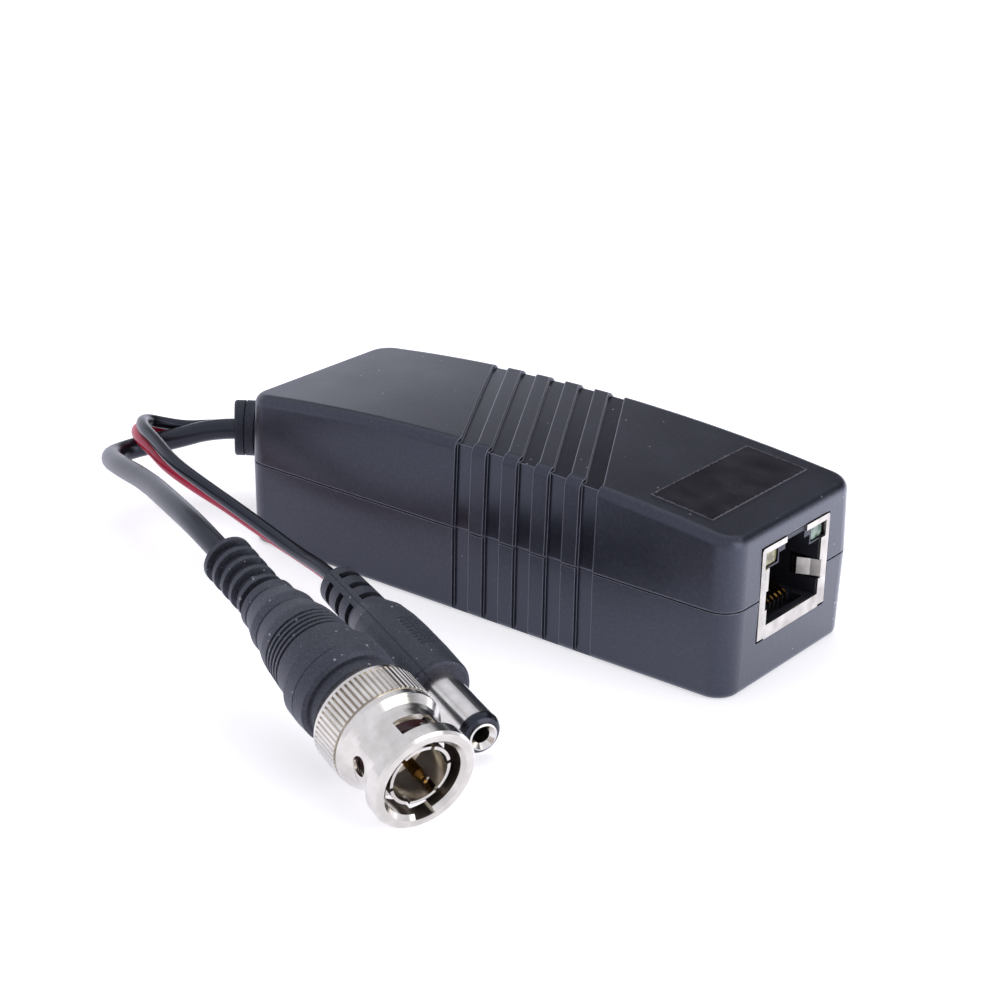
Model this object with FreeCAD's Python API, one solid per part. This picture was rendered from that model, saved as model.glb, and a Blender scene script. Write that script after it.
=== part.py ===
import FreeCAD, Part
import math
import os

V = FreeCAD.Vector

# Passive CCTV video balun: a two-part moulded housing with a shielded RJ45 jack at one end
# and, at the other, a bend relief for a coaxial lead with a BNC plug and a pair of power
# wires with a 5.5 mm DC plug. Millimetres. The origin is the middle of the housing's base,
# +X points to the jack and +Z up. The near side, where the leads lie, is -Y.

# Housing
case_length = 80.5
case_width = 30.0
parting_height = 12.1
end_height = 21.7
crown_height = 24.4
corner_radius = 3.3
draft_angle = 1.1
top_fillet = 1.4
base_fillet = 1.0
case_wall = 2.0
reveal_width = 0.24
reveal_depth = 0.35
lap_height = 1.0
lap_clearance = 0.1

# Grip grooves that run up the near side, slant over the top and go down the far side
groove_count = 5
groove_width = 2.7
groove_pitch = 5.0
groove_depth = 0.6
groove_shift = 15.4
groove_middle = 0.5
groove_turn_inset = 1.6

# Press pins and sockets that hold the halves together
press_pin_radius = 1.2
press_pin_reach = 4.0
press_pin_relief = 0.3
socket_radius = 2.0
socket_height = 9.0
socket_setback = 4.6
socket_gap = 0.85

# Label on the top
label_length = 9.3
label_width = 22.6
label_thickness = 0.12
label_setback = 10.25
label_offset = -0.1

# Circuit board and what stands on it
board_thickness = 1.6
board_width = 17.4
board_end = -16.0
board_setback = 2.3
board_post_radius = 1.5
board_post_inset = 2.4
board_post_edge = 0.1
core_radius = 3.4
core_section_radius = 1.5
winding_thickness = 0.35
winding_span = 140.0
winding_place = -2.0
suppressor_size = (4.3, 3.6, 2.2)
suppressor_place = (7.5, 4.6)
tail_pad_place = -12.5
tail_lead = 3.0
coax_tail_offset = (-1.9, 0.4)
black_tail_offset = (1.3, -0.1)
red_tail_offset = (2.3, -1.8)
coax_pad = (-3.2, 0.8)
black_pad = (1.8, 3.0)
red_pad = (4.3, 3.0)
core_pad = (-3.0, 2.8)
braid_pad = (-3.9, 1.6)
solder_height = 0.6
solder_spread = 0.35

# RJ45 jack
jack_width = 16.3
jack_height = 12.8
jack_depth = 21.0
jack_floor = 6.2
jack_clearance = 0.15
shield_sheet = 0.3
shield_leg = 1.85
shield_sill = 1.9
shield_brow = 0.8
brow_gap = 4.8
led_bay_leg = 0.85
led_bay_height = 2.2
ground_tab_height = 2.3
ground_tab_place = 11.55
ground_tab_root = 0.45
ground_tab_slit = 0.15
ground_tab_path = ((1.35, -0.05), (2.95, 0.7), (3.9, 0.2))
ground_tab_room = (4.4, 0.95, 0.3)
shield_notch = (1.5, 0.25)
brow_run = 1.2
port_width = 12.4
port_ceiling = 15.8
port_depth = 14.0
latch_setback = 3.0
latch_steps = ((7.4, 17.2), (4.6, 18.3))
led_size = (8.0, 2.8, 1.95)
led_middle = 5.5
led_floor = 16.15
led_sink = 0.6
led_gap = 0.12
contact_count = 8
contact_pitch = 1.02
contact_section = 0.35
contact_slot = 0.62
contact_slot_lead = 0.3
contact_slot_setback = 1.0
contact_tail_setback = 2.0
contact_tail_stagger = 2.54
contact_front = 3.3
contact_trough_setback = 1.2
contact_trough_floor = 0.4
contact_trough_width = 9.2
contact_rise_depth = 11.5
contact_low = 8.6
contact_high = 10.9
tail_reach = 1.2
lead_section = 0.45
lead_spacing = 1.27
lock_length = 1.6

# Bend relief where the leads leave the housing
relief_radius = 4.05
relief_height = 11.0
relief_bend_radius = 17.5
relief_bend_angle = 42.0
relief_ring_pitch = 1.83
relief_rim = 0.45
relief_slit_width = 0.25
relief_slit_depth = 0.5
relief_neck_radius = 3.6
relief_collar_radius = 4.8
relief_collar_thickness = 1.5

# Leads
coax_radius = 1.5
wire_radius = 0.9
conductor_radius = 0.3
relief_lead = 3.4
coax_offset = (1.7, 0.45)
black_offset = (-1.2, -0.1)
red_offset = (-2.3, -1.7)

# BNC plug: distances run back from its front face
bnc_face = V(31.28, -62.97, 6.50)
bnc_yaw = -18.5
bnc_pitch = 11.8
sleeve_flange_radius = 6.65
sleeve_flange_length = 1.9
sleeve_waist_radius = 5.6
sleeve_waist_end = 6.3
sleeve_rim_radius = 6.75
sleeve_rim_start = 7.7
sleeve_rim_length = 0.6
knurl_radius = 6.9
knurl_start = 8.55
knurl_end = 12.6
knurl_count = 64
knurl_depth = 0.3
sleeve_length = 14.2
sleeve_bore_radius = 4.9
bayonet_width = 2.3
bayonet_radius = 5.45
bayonet_angle = -8.0
bayonet_start = 2.1
bayonet_ramp_start = 3.45
bayonet_depth = 5.05
bayonet_window_angle = 39.0
bayonet_ramp_radius = 5.25
bayonet_turn = 98.0
bayonet_lock_radius = 1.2
bayonet_lock_depth = 5.2
chamber_radius = 5.85
chamber_start = 8.0
lip_start = 12.05
running_gap = 0.08
contact_tip = 1.1
contact_outer_radius = 3.95
contact_bore_radius = 3.55
contact_slot_width = 0.5
contact_slot_count = 6
contact_slot_length = 2.0
contact_slot_turn = 17.0
seat_start = 6.3
flange_start = 8.2
flange_thickness = 1.3
neck_radius = 4.55
ferrule_radius = 3.0
gasket_thickness = 1.0
gasket_radius = 4.7
dielectric_radius = 3.0
dielectric_end = 14.0
pin_radius = 0.675
pin_tip_radius = 0.25
pin_tip = 0.0
pin_cone_start = 1.45
pin_cone_length = 1.0
wave_gap = 2.1
slip_thickness = 0.4
boot_nose_start = 14.6
boot_nose_radius = 5.6
boot_start = 16.2
boot_length = 47.0
boot_bore_depth = 2.4
ferrule_length = 12.0
boot_rib_count = 5
boot_rib_pitch = 2.1
boot_rib_width = 1.0
boot_rib_start = 37.5
boot_band_count = 5
boot_band_pitch = 0.75
boot_band_start = 24.1

# DC plug: distances run back from its tip
dc_tip = V(26.12, -45.59, 3.20)
dc_yaw = -23.77
dc_pitch = 5.16
barrel_radius = 2.75
barrel_bore_radius = 2.4
barrel_collar_radius = 3.1
collar_setback = 0.1
barrel_start = 1.5
barrel_length = 20.0
inner_sleeve_radius = 1.4
inner_bore_radius = 1.05
inner_lip_radius = 1.8
inner_lip_length = 0.35
inner_depth = 9.5
moulding_start = 11.2
moulding_radius = 4.4
moulding_front_radius = 4.25
moulding_shoulder = 24.5
moulding_flare = 27.3
moulding_flare_radius = 4.0
moulding_waist = 30.4
moulding_waist_radius = 3.0
moulding_length = 39.9
moulding_tail_radius = 2.8
slot_pitch = 3.03
slot_rows = 3
slot_length = 1.15
slot_from_end = 2.5
slot_core_radius = 1.8
slot_span = 62.0
slot_turn = 8.0
wire_spread = 0.95


def box(low, high):
    """A block between two opposite corners."""
    return Part.makeBox(high[0] - low[0], high[1] - low[1], high[2] - low[2], V(*low))


def cylinder_x(radius, x_low, x_high, y=0.0, z=0.0):
    """A cylinder along X."""
    return Part.makeCylinder(radius, x_high - x_low, V(x_low, y, z), V(1, 0, 0))


def turned(profile):
    """A solid turned about the X axis from a closed outline of (distance back, radius)."""
    corners = [V(-back, 0, radius) for back, radius in profile]
    face = Part.Face(Part.makePolygon(corners + corners[:1]))
    return face.revolve(V(0, 0, 0), V(1, 0, 0), 360)


def ribbon(points, thickness, y_middle, width):
    """A bent strip: a path in XZ, given as (x, z), of constant thickness, as wide along Y."""
    left = []
    right = []
    for place, (x, z) in enumerate(points):
        before = points[max(place - 1, 0)]
        after = points[min(place + 1, len(points) - 1)]
        incoming = math.atan2(z - before[1], x - before[0])
        outgoing = math.atan2(after[1] - z, after[0] - x)
        if place == 0:
            incoming = outgoing
        if place == len(points) - 1:
            outgoing = incoming
        half_turn = (outgoing - incoming + math.pi) % (2 * math.pi) / 2 - math.pi / 2
        normal = incoming + half_turn + math.pi / 2
        reach = thickness / 2 / math.cos(half_turn)
        left.append(V(x + reach * math.cos(normal), y_middle - width / 2, z + reach * math.sin(normal)))
        right.append(V(x - reach * math.cos(normal), y_middle - width / 2, z - reach * math.sin(normal)))
    outline = left + right[::-1]
    face = Part.Face(Part.makePolygon(outline + outline[:1]))
    return face.extrude(V(0, width, 0))


def path_of(points):
    """Straight runs joined by tangent arcs, each as large as its two runs allow."""
    edges = []
    radii = []
    start = points[0]
    for before, corner, after in zip(points, points[1:], points[2:]):
        into = (corner - before).normalize()
        out_of = (after - corner).normalize()
        half_turn = math.acos(into.dot(out_of)) / 2
        cut = 0.45 * min((corner - before).Length, (after - corner).Length)
        radius = cut / math.tan(half_turn)
        radii.append(radius)
        arc_start = corner - into * cut
        arc_end = corner + out_of * cut
        toward_centre = (out_of - into).normalize()
        middle = corner + toward_centre * (radius / math.cos(half_turn) - radius)
        edges.append(Part.LineSegment(start, arc_start).toShape())
        edges.append(Part.Arc(arc_start, middle, arc_end).toShape())
        start = arc_end
    edges.append(Part.LineSegment(start, points[-1]).toShape())
    return Part.Wire(edges), radii


def cord(name, points, radius):
    """A round cord along its route; prints its length, bend radii and volume ratio."""
    path, radii = path_of(points)
    heading = points[1] - points[0]
    section = Part.Face(Part.Wire(Part.makeCircle(radius, points[0], heading)))
    solid = path.makePipe(section)
    if solid.ShapeType != "Solid":
        solid = solid.Solids[0]
    ratio = solid.Volume / (math.pi * radius ** 2 * path.Length)
    print(name, "length %.1f" % path.Length, "volume ratio %.4f" % ratio)
    print("  bend radii", " ".join("%.1f" % bend for bend in radii))
    return solid


def case_inset_at(height):
    """How far the drafted wall has leaned in at a height."""
    return math.tan(math.radians(draft_angle)) * abs(height - parting_height)


def case_corners(inset, height):
    """The four corners of the drafted walls at a height, before they are rounded."""
    lean = inset + case_inset_at(height)
    half_length = case_length / 2 - lean
    half_width = case_width / 2 - lean
    signs = ((-1, -1), (1, -1), (1, 1), (-1, 1))
    return [V(sx * half_length, sy * half_width, height) for sx, sy in signs]


def case_form(inset, low, high):
    """The drafted, round-cornered body between two heights on one side of the parting plane."""
    below = case_corners(inset, low)
    above = case_corners(inset, high)
    base = below[::-1]
    faces = [Part.Face(Part.makePolygon(base + base[:1])), Part.Face(Part.makePolygon(above + above[:1]))]
    for place in range(4):
        after = (place + 1) % 4
        wall = [below[place], below[after], above[after], above[place], below[place]]
        faces.append(Part.Face(Part.makePolygon(wall)))
    body = Part.makeSolid(Part.makeShell(faces))
    uprights = [edge for edge in body.Edges if edge.BoundBox.ZLength > (high - low) * 0.9]
    return body.makeFillet(max(corner_radius - inset, 0.6), uprights)


def crown_radius():
    half = case_length / 2
    rise = crown_height - end_height
    return (half ** 2 + rise ** 2) / (2 * rise)


def crown_body(drop):
    """Everything under the arched top, lowered by a distance."""
    radius = crown_radius()
    start = V(0, -case_width, crown_height - radius)
    roller = Part.makeCylinder(radius - drop, 2 * case_width, start, V(0, 1, 0))
    roller.rotate(start, V(0, 1, 0), 180)
    return roller


above_crown = crown_height + 3.0


def grip_grooves():
    """Five channels of even depth, each one path in plan that slants across the top."""
    side = case_width / 2 + 2.0
    turn = case_width / 2 - groove_turn_inset
    cutters = []
    for place in range(groove_count):
        middle = groove_middle + groove_pitch * (place - (groove_count - 1) / 2)
        near = middle + groove_shift / 2
        far = middle - groove_shift / 2
        line = ((near, -side), (near, -turn), (far, turn), (far, side))
        edge = [V(x - groove_width / 2, y, -1) for x, y in line]
        edge += [V(x + groove_width / 2, y, -1) for x, y in reversed(line)]
        face = Part.Face(Part.makePolygon(edge + edge[:1]))
        cutters.append(face.extrude(V(0, 0, above_crown + 1)))
    lower_core = case_form(groove_depth, 0, parting_height)
    base_core = case_form(groove_depth + case_inset_at(0), -2, 0)
    upper_core = case_form(groove_depth, parting_height, above_crown).common(crown_body(groove_depth))
    channels = Part.makeCompound(cutters)
    for core in (lower_core, base_core, upper_core):
        channels = channels.cut(core)
    return channels


def parting_reveal():
    """The shallow line that shows all round where the halves meet."""
    half = reveal_width / 2
    low = V(-case_length, -case_width, parting_height - half)
    slab = Part.makeBox(2 * case_length, 2 * case_width, reveal_width, low)
    core = case_form(reveal_depth, parting_height, parting_height + half)
    under_core = case_form(reveal_depth, parting_height - half, parting_height)
    return slab.cut(core).cut(under_core)


def end_openings():
    """The jack's window in one end wall and the bend relief's hole in the other."""
    half = jack_width / 2 + jack_clearance
    low = jack_floor - jack_clearance
    high = jack_floor + jack_height + jack_clearance
    end = case_length / 2
    window = box((end - 2 * case_wall, -half, low), (end + 1, half, high))
    hole = cylinder_x(relief_neck_radius, -end - 1, -end + 2 * case_wall, z=relief_height)
    return Part.makeCompound([window, hole])


def socket_places():
    """The four corners where a press pin enters its socket."""
    x = case_length / 2 - case_wall - socket_setback
    y = jack_width / 2 + socket_gap + socket_radius
    return [(sx * x, sy * y) for sx in (-1, 1) for sy in (-1, 1)]


def board_top():
    return jack_floor


def board_floor():
    return jack_floor - board_thickness


def board_post_places():
    """Where the board is carried from below: clear of the jack's tails and the coil."""
    end = case_length / 2 - board_setback - board_post_inset
    y = board_width / 2 - board_post_radius - board_post_edge
    return [(board_end + board_post_inset, -y), (board_end + board_post_inset, y), (end, -y), (end, y)]


def lower_housing():
    body = case_form(0, 0, parting_height)
    base_edges = [edge for edge in body.Edges if edge.BoundBox.ZMax < 0.01]
    body = body.makeFillet(base_fillet, base_edges)
    body = body.cut(case_form(case_wall, case_wall, parting_height))
    lap_inset = case_wall / 2 + lap_clearance
    lap_top = parting_height + lap_height
    tongue = case_form(lap_inset, parting_height, lap_top)
    tongue = tongue.cut(case_form(case_wall, parting_height, lap_top))
    body = body.fuse(tongue)
    for x, y in socket_places():
        tube = Part.makeCylinder(socket_radius, socket_height - case_wall, V(x, y, case_wall))
        body = body.fuse(tube)
        depth = press_pin_reach
        body = body.cut(Part.makeCylinder(press_pin_radius, depth, V(x, y, socket_height - depth)))
    for x, y in board_post_places():
        post = Part.makeCylinder(board_post_radius, board_floor() - case_wall, V(x, y, case_wall))
        body = body.fuse(post)
    return body.cut(grip_grooves()).cut(parting_reveal()).cut(end_openings())


def upper_housing():
    body = case_form(0, parting_height, above_crown).common(crown_body(0))
    rim = end_height - top_fillet
    top_edges = [edge for edge in body.Edges if edge.BoundBox.ZMin > rim]
    body = body.makeFillet(top_fillet, top_edges)
    cavity = case_form(case_wall, parting_height, above_crown).common(crown_body(case_wall))
    body = body.cut(cavity)
    room = cavity.fuse(case_form(case_wall, board_top(), parting_height))
    lap_top = parting_height + lap_height + lap_clearance
    body = body.cut(case_form(case_wall / 2, parting_height, lap_top))
    for x, y in socket_places():
        shank = Part.makeCylinder(socket_radius, crown_height - socket_height, V(x, y, socket_height))
        body = body.fuse(shank.common(room))
        low = socket_height - press_pin_reach + press_pin_relief
        body = body.fuse(Part.makeCylinder(press_pin_radius, end_height - case_wall - low, V(x, y, low)))
    for x, y in board_post_places()[:2]:
        pillar = Part.makeCylinder(board_post_radius, crown_height - board_top(), V(x, y, board_top()))
        body = body.fuse(pillar.common(room))
    return body.cut(grip_grooves()).cut(parting_reveal()).cut(end_openings())


def label():
    """A thin sticker that follows the arched top."""
    skin = crown_body(-label_thickness).cut(crown_body(0))
    x = case_length / 2 - label_setback
    y = label_offset
    low = (x - label_length / 2, y - label_width / 2, end_height - 2)
    high = (x + label_length / 2, y + label_width / 2, above_crown)
    return skin.common(box(low, high))


def jack_front():
    return case_length / 2


def jack_shield():
    """Folded sheet can: open frame at the front with two inward grounding tabs and board locks."""
    front = jack_front()
    back = front - jack_depth
    half = jack_width / 2
    top = jack_floor + jack_height
    sheet = shield_sheet
    can = box((back, -half, jack_floor), (front, half, top))
    can = can.makeFillet(0.5, [edge for edge in can.Edges if abs(edge.tangentAt(0).x) > 0.9
                               and edge.BoundBox.ZMin > top - 0.1])
    inside = box((back + sheet, -half + sheet, jack_floor), (front - sheet, half - sheet, top - sheet))
    can = can.cut(inside)
    sill_top = jack_floor + shield_sill
    brow_low = top - shield_brow
    bay_low = brow_low - led_bay_height
    port = half - shield_leg
    bay = half - led_bay_leg
    apertures = (
        ((-port, sill_top), (port, bay_low)),
        ((-bay, bay_low), (bay, brow_low)),
        ((-brow_gap / 2, brow_low), (brow_gap / 2, top + 0.1)),
    )
    for (y_low, z_low), (y_high, z_high) in apertures:
        can = can.cut(box((front - sheet - 0.01, y_low, z_low), (front + 0.01, y_high, z_high)))
    can = can.cut(box((front - brow_run, -brow_gap / 2, brow_low), (front + 0.01, brow_gap / 2, top + 0.1)))
    for side in (-1, 1):
        low = ground_tab_place - ground_tab_height / 2
        root = port + ground_tab_root
        gap_low = (front - sheet - 0.01, min(side * port, side * root) - 0.01, low - ground_tab_slit)
        gap_top = low + ground_tab_height + ground_tab_slit
        gap_high = (front + 0.01, max(side * port, side * root) + 0.01, gap_top)
        can = can.cut(box(gap_low, gap_high))
        strip = [(front, root)] + [(front - back_by, port - inward) for back_by, inward in ground_tab_path]
        outline = [V(x, side * y, low) for x, y in strip]
        outline += [V(x, side * (y + sheet * 0.8), low) for x, y in reversed(strip)]
        can = can.fuse(Part.Face(Part.makePolygon(outline + outline[:1])).extrude(V(0, 0, ground_tab_height)))
        notch_length, notch_height = shield_notch
        low_corner = (front - sheet * 2, min(side * half, side * (half - notch_length)), jack_floor - 0.01)
        high_corner = (front + 0.1, max(side * half, side * (half - notch_length)), jack_floor + notch_height)
        can = can.cut(box(low_corner, high_corner))
        lock_x = front - jack_depth * 0.55
        lock_y = side * (half - sheet / 2)
        lock_low = board_floor() - tail_reach
        lock_high = (lock_x + lock_length, lock_y + sheet / 2, jack_floor + 1)
        lock = box((lock_x, lock_y - sheet / 2, lock_low), lock_high)
        can = can.fuse(lock)
    return can.removeSplitter()


def contact_places():
    middle = (contact_count - 1) / 2
    return [contact_pitch * (place - middle) for place in range(contact_count)]


def jack_contacts():
    """Eight sprung wires: up from the board, forward under the floor and back up at a slant."""
    front = jack_front()
    back = front - jack_depth + contact_tail_setback
    rows = []
    for place, y in enumerate(contact_places()):
        tail_x = back + (contact_tail_stagger if place % 2 else 0.0)
        points = [
            (tail_x, board_floor() - tail_reach),
            (tail_x, jack_floor + 0.9),
            (front - contact_front, jack_floor + 0.9),
            (front - contact_front, contact_low - 0.25),
            (front - contact_front - 0.35, contact_low),
            (front - contact_rise_depth, contact_high),
        ]
        rows.append(ribbon(points, contact_section, y, contact_section))
    return rows


def led(side):
    """A light guide with a rounded nose end towards the latch."""
    front = jack_front()
    length, width, height = led_size
    low = (front - 0.5 - length, side * led_middle - width / 2, led_floor)
    high = (front - 0.5, side * led_middle + width / 2, led_floor + height)
    body = box(low, high)
    rounded = [edge for edge in body.Edges if abs(edge.tangentAt(0).x) > 0.9]
    return body.makeFillet(0.6, rounded)


def led_leads():
    """Two bent wires from each light down to the board."""
    back = jack_front() - jack_depth + 0.8
    start = jack_front() - 0.5 - led_size[0]
    height = led_floor + led_size[2] / 2
    wires = []
    for side in (-1, 1):
        for step in (-0.5, 0.5):
            y = side * led_middle + step * lead_spacing
            points = [(start, height), (back, height), (back, board_floor() - tail_reach)]
            wires.append(ribbon(points, lead_section, y, lead_section))
    return wires


def jack_insulator():
    """The moulded core: plug port with stepped latch notch, light bays and contact slots."""
    front = jack_front() - shield_sheet
    back = jack_front() - jack_depth + shield_sheet
    half = jack_width / 2 - shield_sheet
    top = jack_floor + jack_height - shield_sheet
    body = box((back, -half, jack_floor), (front, half, top))
    port_floor = jack_floor + shield_sill
    port_back = jack_front() - port_depth
    body = body.cut(box((port_back, -port_width / 2, port_floor), (front + 1, port_width / 2, port_ceiling)))
    for width, height in latch_steps:
        low = (port_back + latch_setback, -width / 2, port_floor)
        body = body.cut(box(low, (front + 1, width / 2, height)))
    for y in contact_places():
        low = (port_back + contact_slot_setback, y - contact_slot / 2, jack_floor + 0.6)
        high = (jack_front() - contact_front + contact_slot_lead, y + contact_slot / 2, port_floor + 0.1)
        body = body.cut(box(low, high))
    trough = contact_trough_width / 2
    low = (jack_front() - contact_front + contact_slot_lead / 2, -trough, jack_floor + contact_trough_floor)
    high = (jack_front() - contact_trough_setback, trough, port_floor + 0.1)
    body = body.cut(box(low, high))
    run, outward, spare = ground_tab_room
    tab_low = ground_tab_place - ground_tab_height / 2 - spare
    for side in (-1, 1):
        wall = port_width / 2 - 0.1
        low = (jack_front() - run, min(side * wall, side * (wall + outward)), tab_low)
        tab_high = tab_low + ground_tab_height + 2 * spare
        high = (front + 0.1, max(side * wall, side * (wall + outward)), tab_high)
        body = body.cut(box(low, high))
    brow_low = (jack_front() - brow_run, -brow_gap / 2, top - 0.1)
    body = body.fuse(box(brow_low, (front, brow_gap / 2, top + shield_sheet * 0.8)))
    for side in (-1, 1):
        length, width, height = led_size
        outer = side * half
        inner = side * (led_middle - width / 2 - led_gap)
        low = (front - led_sink, min(inner, outer), led_floor - led_gap)
        high = (front + 0.1, max(inner, outer), led_floor + height + led_gap)
        body = body.cut(box(low, high))
    for solid in jack_contacts() + led_leads() + [led(-1), led(1)]:
        body = body.cut(solid)
    return body.cut(jack_shield()).removeSplitter()


def circuit_board():
    """The board, drilled for every lead that passes through it."""
    half = board_width / 2
    end = case_length / 2 - board_setback
    plate = box((board_end, -half, board_floor()), (end, half, board_top()))
    for solid in jack_contacts() + led_leads():
        plate = plate.cut(solid)
    return plate.cut(jack_shield())


def ring_part(centre, ring_radius, section_radius, bore_radius, middle, span):
    """Part of a flat-lying ring with a round section, centred on an angle."""
    start = centre + V(ring_radius, 0, 0)
    face = Part.Face(Part.Wire(Part.makeCircle(section_radius, start, V(0, 1, 0))))
    face = face.cut(Part.Face(Part.Wire(Part.makeCircle(bore_radius, start, V(0, 1, 0))))).Faces[0]
    face.rotate(centre, V(0, 0, 1), middle - span / 2)
    return face.revolve(centre, V(0, 0, 1), span)


def balun_centre():
    height = board_top() + core_section_radius + winding_thickness
    return V(winding_place, 0, height)


def balun_core():
    centre = balun_centre()
    return Part.makeTorus(core_radius, core_section_radius, centre)


def balun_windings():
    """Two windings, each wound round its own side of the core."""
    outer = core_section_radius + winding_thickness
    centre = balun_centre()
    return [ring_part(centre, core_radius, outer, core_section_radius, middle, winding_span)
            for middle in (90, 270)]


def surge_suppressors():
    x, y = suppressor_place
    length, width, height = suppressor_size
    parts = []
    for side in (-1, 1):
        low = (x - length / 2, side * y - width / 2, board_top())
        high = (x + length / 2, side * y + width / 2, board_top() + height)
        body = box(low, high)
        top_edges = [edge for edge in body.Edges if edge.BoundBox.ZMin > high[2] - 0.01]
        parts.append(body.makeChamfer(0.3, top_edges))
    return parts


def relief_tip():
    """Centre of the bend relief's end face and the way it points."""
    turn = math.radians(relief_bend_angle)
    root = V(-case_length / 2, 0, relief_height)
    centre = root + V(-math.sin(turn), -(1 - math.cos(turn)), 0) * relief_bend_radius
    return centre, V(-math.cos(turn), -math.sin(turn), 0)


def relief_exit(offset):
    """A point on the end face, offset towards the near side and upwards."""
    centre, heading = relief_tip()
    aside = V(-heading.y, heading.x, 0)
    return centre + aside * offset[0] + V(0, 0, offset[1])


def bend_relief():
    """A ringed rubber relief that bends with the leads, with its neck held in the end wall."""
    end = case_length / 2
    root = V(-end, 0, relief_height)
    bend_centre = root + V(0, -relief_bend_radius, 0)

    def slice_of(radius, bore, first, span):
        face = Part.Face(Part.Wire(Part.makeCircle(radius, root, V(1, 0, 0))))
        if bore:
            face = face.cut(Part.Face(Part.Wire(Part.makeCircle(bore, root, V(1, 0, 0))))).Faces[0]
        face.rotate(bend_centre, V(0, 0, 1), first)
        return face.revolve(bend_centre, V(0, 0, 1), span)

    body = slice_of(relief_radius, 0, 0, relief_bend_angle)
    tip = relief_tip()[0]
    rims = [edge for edge in body.Edges if (edge.CenterOfMass - tip).Length < 0.01]
    body = body.makeFillet(relief_rim, rims)
    per_mm = math.degrees(1 / relief_bend_radius)
    station = relief_bend_angle - relief_ring_pitch * per_mm
    while station > relief_ring_pitch * per_mm / 2:
        width = relief_slit_width * per_mm
        slit = slice_of(relief_radius + 1, relief_radius - relief_slit_depth, station, width)
        body = body.cut(slit)
        station -= relief_ring_pitch * per_mm
    neck = cylinder_x(relief_neck_radius, -end - 0.2, -end + case_wall + 0.1, z=relief_height)
    collar_start = -end + case_wall + 0.1
    collar_end = collar_start + relief_collar_thickness
    collar = cylinder_x(relief_collar_radius, collar_start, collar_end, z=relief_height)
    return body.fuse(neck).fuse(collar).removeSplitter()


def collar_face():
    return -case_length / 2 + case_wall + 0.1 + relief_collar_thickness


def placed(solid, place, yaw, pitch):
    """Move a plug from its own axis, +X forward, to where it lies."""
    moved = solid.copy()
    moved.Placement = FreeCAD.Placement(place, FreeCAD.Rotation(yaw, pitch, 0))
    return moved


def plug_point(place, yaw, pitch, back, offset=V(0, 0, 0)):
    """A point a distance back from a plug's front, off its axis by (0, y, z)."""
    return FreeCAD.Placement(place, FreeCAD.Rotation(yaw, pitch, 0)).multVec(V(-back, offset.y, offset.z))


def sector(radius, low, high, first, last):
    """A wedge about the X axis between two distances back; angles run clockwise from the top."""
    outline = [V(-low, 0, 0), V(-low, 0, radius), V(-high, 0, radius), V(-high, 0, 0), V(-low, 0, 0)]
    face = Part.Face(Part.makePolygon(outline))
    face.rotate(V(0, 0, 0), V(1, 0, 0), -first)
    return face.revolve(V(0, 0, 0), V(1, 0, 0), -(last - first))


def coupling_sleeve():
    """The knurled bayonet ring: two keyways, ramps and lock holes, and a chamber for the spring."""
    chamfer = 0.3
    neck_groove = knurl_radius - knurl_depth - 0.05
    outer = [
        (0, sleeve_flange_radius - chamfer), (chamfer, sleeve_flange_radius),
        (sleeve_flange_length, sleeve_flange_radius), (sleeve_flange_length, sleeve_waist_radius),
        (sleeve_waist_end, sleeve_waist_radius), (sleeve_waist_end + 0.45, sleeve_waist_radius + 0.3),
        (sleeve_rim_start - 0.1, sleeve_rim_radius - 0.05), (sleeve_rim_start, sleeve_rim_radius),
        (sleeve_rim_start + sleeve_rim_length, sleeve_rim_radius), (knurl_start - 0.1, neck_groove),
        (knurl_start, neck_groove), (knurl_start, knurl_radius), (knurl_end + 0.4, knurl_radius),
        (knurl_end + 0.65, knurl_radius - 0.15), (sleeve_length, knurl_radius - 0.7),
    ]
    lip_bore = neck_radius + running_gap
    inner = [
        (sleeve_length, lip_bore), (lip_start, lip_bore), (lip_start, chamber_radius),
        (chamber_start, chamber_radius), (chamber_start, sleeve_bore_radius),
        (0.5, sleeve_bore_radius), (0, sleeve_bore_radius + 0.5),
    ]
    body = turned(outer + inner)
    across = math.degrees(bayonet_width / sleeve_bore_radius)
    for turn in (0, 180):
        first = bayonet_angle + turn
        low = first - across / 2
        body = body.cut(sector(bayonet_radius, -0.1, bayonet_start + 0.1, low, low + across))
        window_last = first + bayonet_window_angle
        body = body.cut(sector(knurl_radius, bayonet_start, bayonet_depth, low, low + across))
        body = body.cut(sector(knurl_radius, bayonet_ramp_start, bayonet_depth, first, window_last))
        ramp_start = bayonet_lock_depth - bayonet_lock_radius
        ramp_end = bayonet_lock_depth + bayonet_lock_radius
        ramp_last = first + bayonet_turn
        body = body.cut(sector(bayonet_ramp_radius, ramp_start, ramp_end, window_last - 8, ramp_last))
        lock = Part.makeCylinder(bayonet_lock_radius, knurl_radius, V(-bayonet_lock_depth, 0, 0), V(0, 0, 1))
        lock.rotate(V(0, 0, 0), V(1, 0, 0), -ramp_last)
        body = body.cut(lock)
    grooves = []
    for place in range(knurl_count):
        depth = V(0, 0, knurl_radius - knurl_depth)
        half = math.pi * knurl_radius / knurl_count * 0.55
        crest = knurl_radius + 0.05
        front = 0.05 - knurl_start
        outline = [V(front, 0, depth.z), V(front, half, crest), V(front, -half, crest), V(front, 0, depth.z)]
        groove = Part.Face(Part.makePolygon(outline)).extrude(V(-front - knurl_end, 0, 0))
        groove.rotate(V(0, 0, 0), V(1, 0, 0), 360 * place / knurl_count)
        grooves.append(groove)
    return body.cut(Part.makeCompound(grooves))


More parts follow.
